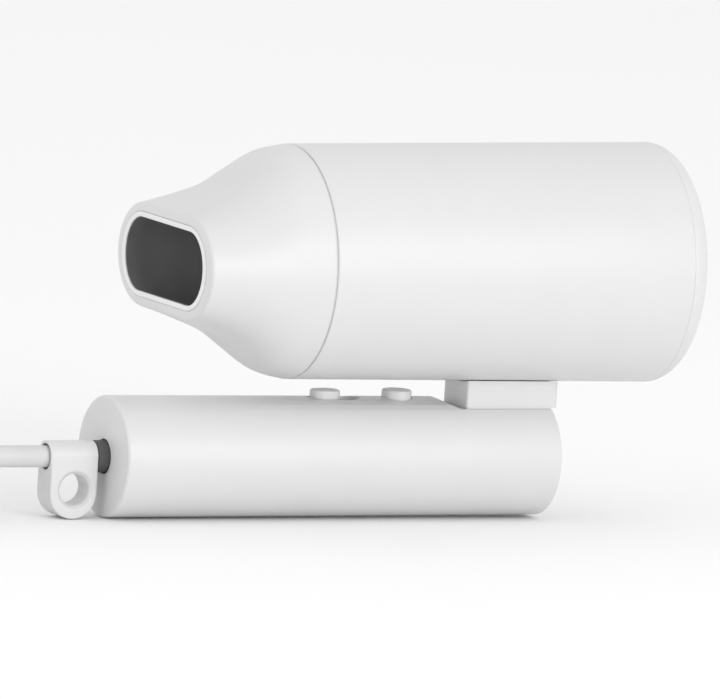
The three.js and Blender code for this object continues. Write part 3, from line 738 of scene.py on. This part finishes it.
def makeGrille():
    rowStep = intake["spacing"] * math.sqrt(3) / 2
    rows = int(intake["reach"] / rowStep) + 1
    spots = []
    for row in range(-rows, rows + 1):
        for column in range(-rows, rows + 1):
            y = (column + (row % 2) / 2) * intake["spacing"]
            z = row * rowStep
            if math.hypot(y, z) < intake["reach"] - intake["hole"]:
                spots.append((y, z, intake["hole"], intake["holeSides"]))
    edge = intake["edge"]
    outline = [(0, 0, intake["plate"] - edge, 128)]
    curve = flatCurve("grille", outline + spots, intake["thickness"] - 2 * edge, edge)
    obj = bpy.data.objects.new("grille", curve)
    scene.collection.objects.link(obj)
    face = applied(obj)
    bpy.data.objects.remove(obj)
    middle = intake["face"] - intake["thickness"] / 2
    for vertex in face.vertices:
        y, z, x = vertex.co / mm
        vertex.co = place((middle + x, y, z), barrelOrigin)
    finishPiece("rearGrille", face, "white_trim", "rear_cover", ["rear_grille"])
    rim = rounded([(182, 28.4, 0.2), (182, 32.6, 0.3), (184, 32.6, 0.3), (184, 28.4, 0.2)])
    piece("grilleRim", *turned(rim, barrelOrigin, 128), "white_trim", "rear_cover")


dustMesh = {"radius": 31.5, "pitch": 1.1, "wire": 0.22, "wave": 0.16, "x": 181.15}


# woven mesh held in a ring
def makeFilter():
    radius, pitch = dustMesh["radius"], dustMesh["pitch"]
    verts, faces = [], []
    count = int(radius / pitch)
    half = dustMesh["wire"] / 2
    for direction in (0, 1):
        for i in range(-count, count + 1):
            offset = i * pitch
            reach = math.sqrt(radius ** 2 - offset ** 2)
            steps = max(2, round(2 * reach / pitch) * 2)
            for k in range(steps + 1):
                along = -reach + 2 * reach * k / steps
                wave = dustMesh["wave"] * math.cos(math.pi * (along / pitch + i + direction))
                for dy, dx in ((-half, 0), (0, half), (half, 0), (0, -half)):
                    flat = (offset + dy, along) if direction else (along, offset + dy)
                    verts.append(place((dustMesh["x"] + wave + dx, *flat), barrelOrigin))
            first = len(verts) - 4 * (steps + 1)
            for k in range(steps):
                for m in range(4):
                    a, b = first + 4 * k + m, first + 4 * k + (m + 1) % 4
                    faces.append([a, b, b + 4, a + 4])
            faces.append([first + m for m in range(4)])
            faces.append([first + 4 * steps + m for m in reversed(range(4))])
    piece("filterMesh", verts, faces, "grey_nylon", "rear_cover", ["filter_mesh"])
    frameRing = rounded([(180.65, 30.2, 0.2), (180.65, 32, 0.2), (181.65, 32, 0.2), (181.65, 30.2, 0.2)])
    piece("filterRing", *turned(frameRing, barrelOrigin, 128), "grey_nylon", "rear_cover")


makeBarrel()
makeRearCap()
makeGrille()
makeFilter()
print("barrel made")


handle = {
    "length": 148.0, "cordRadius": 18.75, "hingeRadius": 18.2, "bore": 16.2, "boreEnd": 108.0, "edge": 0.9,
    "pivot": 134.5, "pinCover": 4.5, "slotFloor": -14.05,
    "tongueLeft": 15.6, "tongueRight": 13.5, "tongueRadius": 13.8, "tongueHalf": 8.3, "neckRight": 15.8,
    "seat": 15.6, "rampStart": 110.7, "rampEnd": 116.4,
    "track": (68.0, 85.2, 4.0), "trackTop": 16.9,
    "slider": 74.1, "travel": 5.8, "knobHalf": 4.65, "knobSide": 3.7, "knobCorner": 3.3,
    "button": 98.6, "buttonRadius": 4.65, "controlTop": 20.65,
}


def handleSkin():
    h = handle
    return rounded([
        (h["boreEnd"], 0), (h["boreEnd"], h["bore"]), (0, h["bore"], 0.25), (0, h["cordRadius"], h["edge"]),
        (h["length"], h["hingeRadius"], h["edge"]), (h["length"], 0)], closed=False)


def makeHandle():
    h = handle
    slotLeft, slotHalf = h["pivot"] - h["tongueLeft"] - gap, h["tongueHalf"] + gap
    seat = [(h["rampStart"], h["hingeRadius"] + 0.2), (h["rampEnd"], h["seat"]), (160, h["seat"]), (160, 30),
            (h["rampStart"], 30)]
    trackHole = stadium(h["track"][0] - gap, h["track"][1] + gap, h["track"][2] + gap, steps=16)
    shell = carve(
        turned(handleSkin(), handleOrigin, 192),
        (cut, slab(slotLeft, 160, -slotHalf, slotHalf, h["slotFloor"], 30, handleOrigin)),
        (cut, extruded(seat, -30, 30, handleOrigin, "y")),
        (cut, extruded(trackHole, 10, 30, handleOrigin)),
        (cut, rod(10, 30, h["buttonRadius"] + gap, handleOrigin, 72, "z", (h["button"], 0, 0))),
        (cut, turned([(-15.3, 0), (-15.3, 2.8), (12, 2.8), (12, 4.8), (30, 4.8), (30, 0)],
                     handleOrigin, 64, "y", (h["pivot"], 0, 0))),
        (cut, rod(100, 125, 3, handleOrigin, 32, "x", (0, 0, 6.5))))    # way for the wires
    shell = withModifiers(shell, softEdges(0.22))
    finishPiece("handleShell", shell, "white_shell", "handle", ["handle_shell"])
    cap = rounded([(0, 5.25, 0.4), (0, 16.42), (0.22, 16.18), (8, 16.1), (8, 14.2), (3, 14.2),
                   (3, 5.25, 0.2)])
    piece("handleEndCap", *turned(cap, handleOrigin, 160), "white_shell", "handle", ["handle_end_cap"])
    # the pin's cover is trimmed to the handle's own round
    hinge = carve(
        rod(14.3, 25, h["pinCover"], handleOrigin, 96, "y", (h["pivot"], 0, 0)),
        ("INTERSECT", turned([(-1, 0), (-1, 18.755), (149, 18.197), (149, 0)], handleOrigin, 192)))
    finishPiece("hingeCap", withModifiers(hinge, softEdges(0.15)), "white_shell", "handle", ["hinge_cap"])


def makeNeck():
    h = handle
    left, right = h["pivot"] - h["tongueLeft"], h["pivot"] + h["tongueRight"]
    half = h["tongueHalf"]
    headRight, headLow = h["pivot"] + h["neckRight"], h["seat"] + gap
    head = rounded([(left, -half, 0.6), (headRight, -half, 2.0), (headRight, half, 2.0), (left, half, 0.6)],
                   steps=8)
    base = rounded([(left, -half, 0.6), (right, -half, 0.6), (right, half, 0.6), (left, half, 0.6)], steps=4)
    disc = [(h["pivot"] + h["tongueRadius"] * math.cos(a), h["tongueRadius"] * math.sin(a))
            for a in (2 * math.pi * k / 96 for k in range(96))]
    disc = [(min(x, right), z) for x, z in disc]
    origin, wireHole = handleOrigin, 2.6
    shape = carve(
        extruded(head, headLow, 34, origin),
        (join, extruded(base, 0, headLow + 1, origin)),
        (join, extruded(disc, -half, half, origin, "y")),
        (cut, turned([(100, 0), (100, 36.75), (160, 37.15), (160, 0)], barrelOrigin, 192)),
        (cut, turned([(-10, 0), (-10, 7), (-7.2, 7), (-7.2, 4.3), (7.2, 4.3), (7.2, 7), (10, 7), (10, 0)],
                     origin, 64, "y", (h["pivot"], 0, 0))),
        (cut, rod(110, barrel["harnessX"], wireHole, origin, 32, "x", (0, 0, 8))),
        (cut, rod(8, 40, wireHole, origin, 32, "z", (barrel["harnessX"], 0, 0))),
        *[(cut, rod(12.3, 40, barrel["screwHole"], origin, 24, "z", (x, 0, 0))) for x in barrel["screwX"]])
    shape = withModifiers(shape, softEdges(0.2))
    finishPiece("neckBlock", shape, "white_shell", "barrel", ["neck_block"])


# pad with a rounded top edge and a slight crown
def roundedPad(outline, low, top, edge, crown):
    middle = Vector((sum(p[0] for p in outline) / len(outline), sum(p[1] for p in outline) / len(outline)))
    size = max((Vector(p) - middle).length for p in outline)
    rings = []
    levels = [(low, 0)] + [(top - edge + edge * math.sin(a), edge * (1 - math.cos(a)))
                           for a in (math.pi / 2 * k / 6 for k in range(7))]
    levels += [(top, edge + step * (size - edge) / 4) for step in (1, 2, 3)]
    for z, inset in levels:
        scale = 1 - inset / size
        dish = crown * (1 - (1 - max(inset - edge, 0) / size) ** 2) if inset > edge else 0
        rings.append([place((middle.x + (x - middle.x) * scale, middle.y + (y - middle.y) * scale, z - dish))
                      for x, y in outline])
    return lofted(rings)


def makeControls():
    h = handle
    x, top = h["slider"], h["controlTop"]
    pad = stadium(x - h["knobHalf"], x + h["knobHalf"], h["knobSide"], h["knobCorner"])
    knob = carve(
        roundedPad(pad, h["trackTop"] + gap, top, 0.7, 0.12),
        (join, slab(x - 2, x + 2, -1.5, 1.5, 12.9, 18, handleOrigin)))    # stem down through the track
    finishPiece("slideKnob", knob, "white_shell", "speed_slider", ["slide_knob"])
    left, right, half = h["track"]
    track = carve(
        extruded(stadium(left, right, half, steps=16), 13.6, h["trackTop"], handleOrigin),
        (join, extruded(stadium(left - 1.8, right + 1.8, 5.2, steps=16), 13.6, 14.7, handleOrigin)),
        (cut, slab(x - 2.3, x + h["travel"] + 2.3, -1.8, 1.8, 10, 20, handleOrigin)))
    track = withModifiers(track, softEdges(0.15))
    finishPiece("switchTrack", track, "white_trim", "handle", ["switch_track"])
    r = h["buttonRadius"]
    # stem, pocket for the top of the spring, flange, then the button's side and top
    profile = rounded([
        (8.9, 0), (8.9, 1.6, 0.2), (14.3, 1.6), (14.3, 3.8), (13.3, 3.8), (13.3, 5.8, 0.2), (14.7, 5.8, 0.2),
        (14.7, r, 0.2), (top, r, 0.7), (top, 0)], closed=False, steps=6)
    profile = profile[:-1] + [(top - 0.05, 2.6), (top - 0.11, 1.3), (top - 0.13, 0)]
    button = turned(profile, handleOrigin, 96, "z", (h["button"], 0, 0))
    piece("pushButton", *button, "white_shell", "cool_button", ["push_button"])


guard = {
    "length": 19.7, "radius": 4.95, "gap": 3.8, "centre": (-11.6, -10.95), "round": 7.8,
    "hole": (-11.0, -9.8), "holeRadius": 4.9, "chamfer": 1.1, "cordHole": 4.0,
}


def makeGuard():
    g = guard
    cx, cz = g["centre"]
    outline = [(cx - g["round"], 1.0), (cx + g["round"], 1.0)]
    outline += [(cx + g["round"] * math.cos(a), cz - g["round"] * math.sin(a))
                for a in (math.pi * k / 48 for k in range(49))]
    hx, hz = g["hole"]
    chamfer, r, side = g["chamfer"], g["holeRadius"], g["radius"]
    flare = [(-10, 0), (-10, r + chamfer + 4), (-side - 0.01, r + chamfer), (-side + chamfer, r),
             (side - chamfer, r), (side + 0.01, r + chamfer), (10, r + chamfer + 4), (10, 0)]
    stem = [(-g["length"], 0), (-g["length"], side), (-g["gap"], side), (-g["gap"], 3.6),
            (3.4, 3.6), (3.4, 6.5), (5.4, 6.5), (5.4, 0)]
    way = [(-30, 0), (-30, g["cordHole"]), (-8, g["cordHole"]), (-8, 2.7), (10, 2.7), (10, 0)]
    shape = carve(
        turned(stem, handleOrigin, 96),
        (join, extruded(outline, -side, side, handleOrigin, "y")),
        (cut, turned(flare, handleOrigin, 96, "y", (hx, 0, hz))),
        (cut, turned(way, handleOrigin, 64)))
    shape = withModifiers(shape, blendedSkin(0.2, 8))
    finishPiece("cordGuard", shape, "white_shell", "handle", ["cord_guard"], sharp=80)
    # painted shade: the bush is dark where the handle end's shadow falls on the guard's neck
    bush = rounded([(-3.5, 3.9, 0.1), (-3.5, 4.95, 0.3), (3.1, 4.95, 0.1), (3.1, 3.9, 0.1)])
    piece("guardBush", *turned(bush, handleOrigin, 96), "dark_rubber", "handle", ["guard_bush"])
    # painted shade: a dark ring fills the gap round the cord in the guard's hole
    holeShade = rounded([(-19.1, 3.42), (-19.1, 3.97, 0.2), (-9, 3.97), (-9, 3.42)])
    piece("cordHoleShade", *turned(holeShade, handleOrigin, 64), "dark_rubber", "handle")


makeHandle()
makeNeck()
makeControls()
makeGuard()
print("handle made")
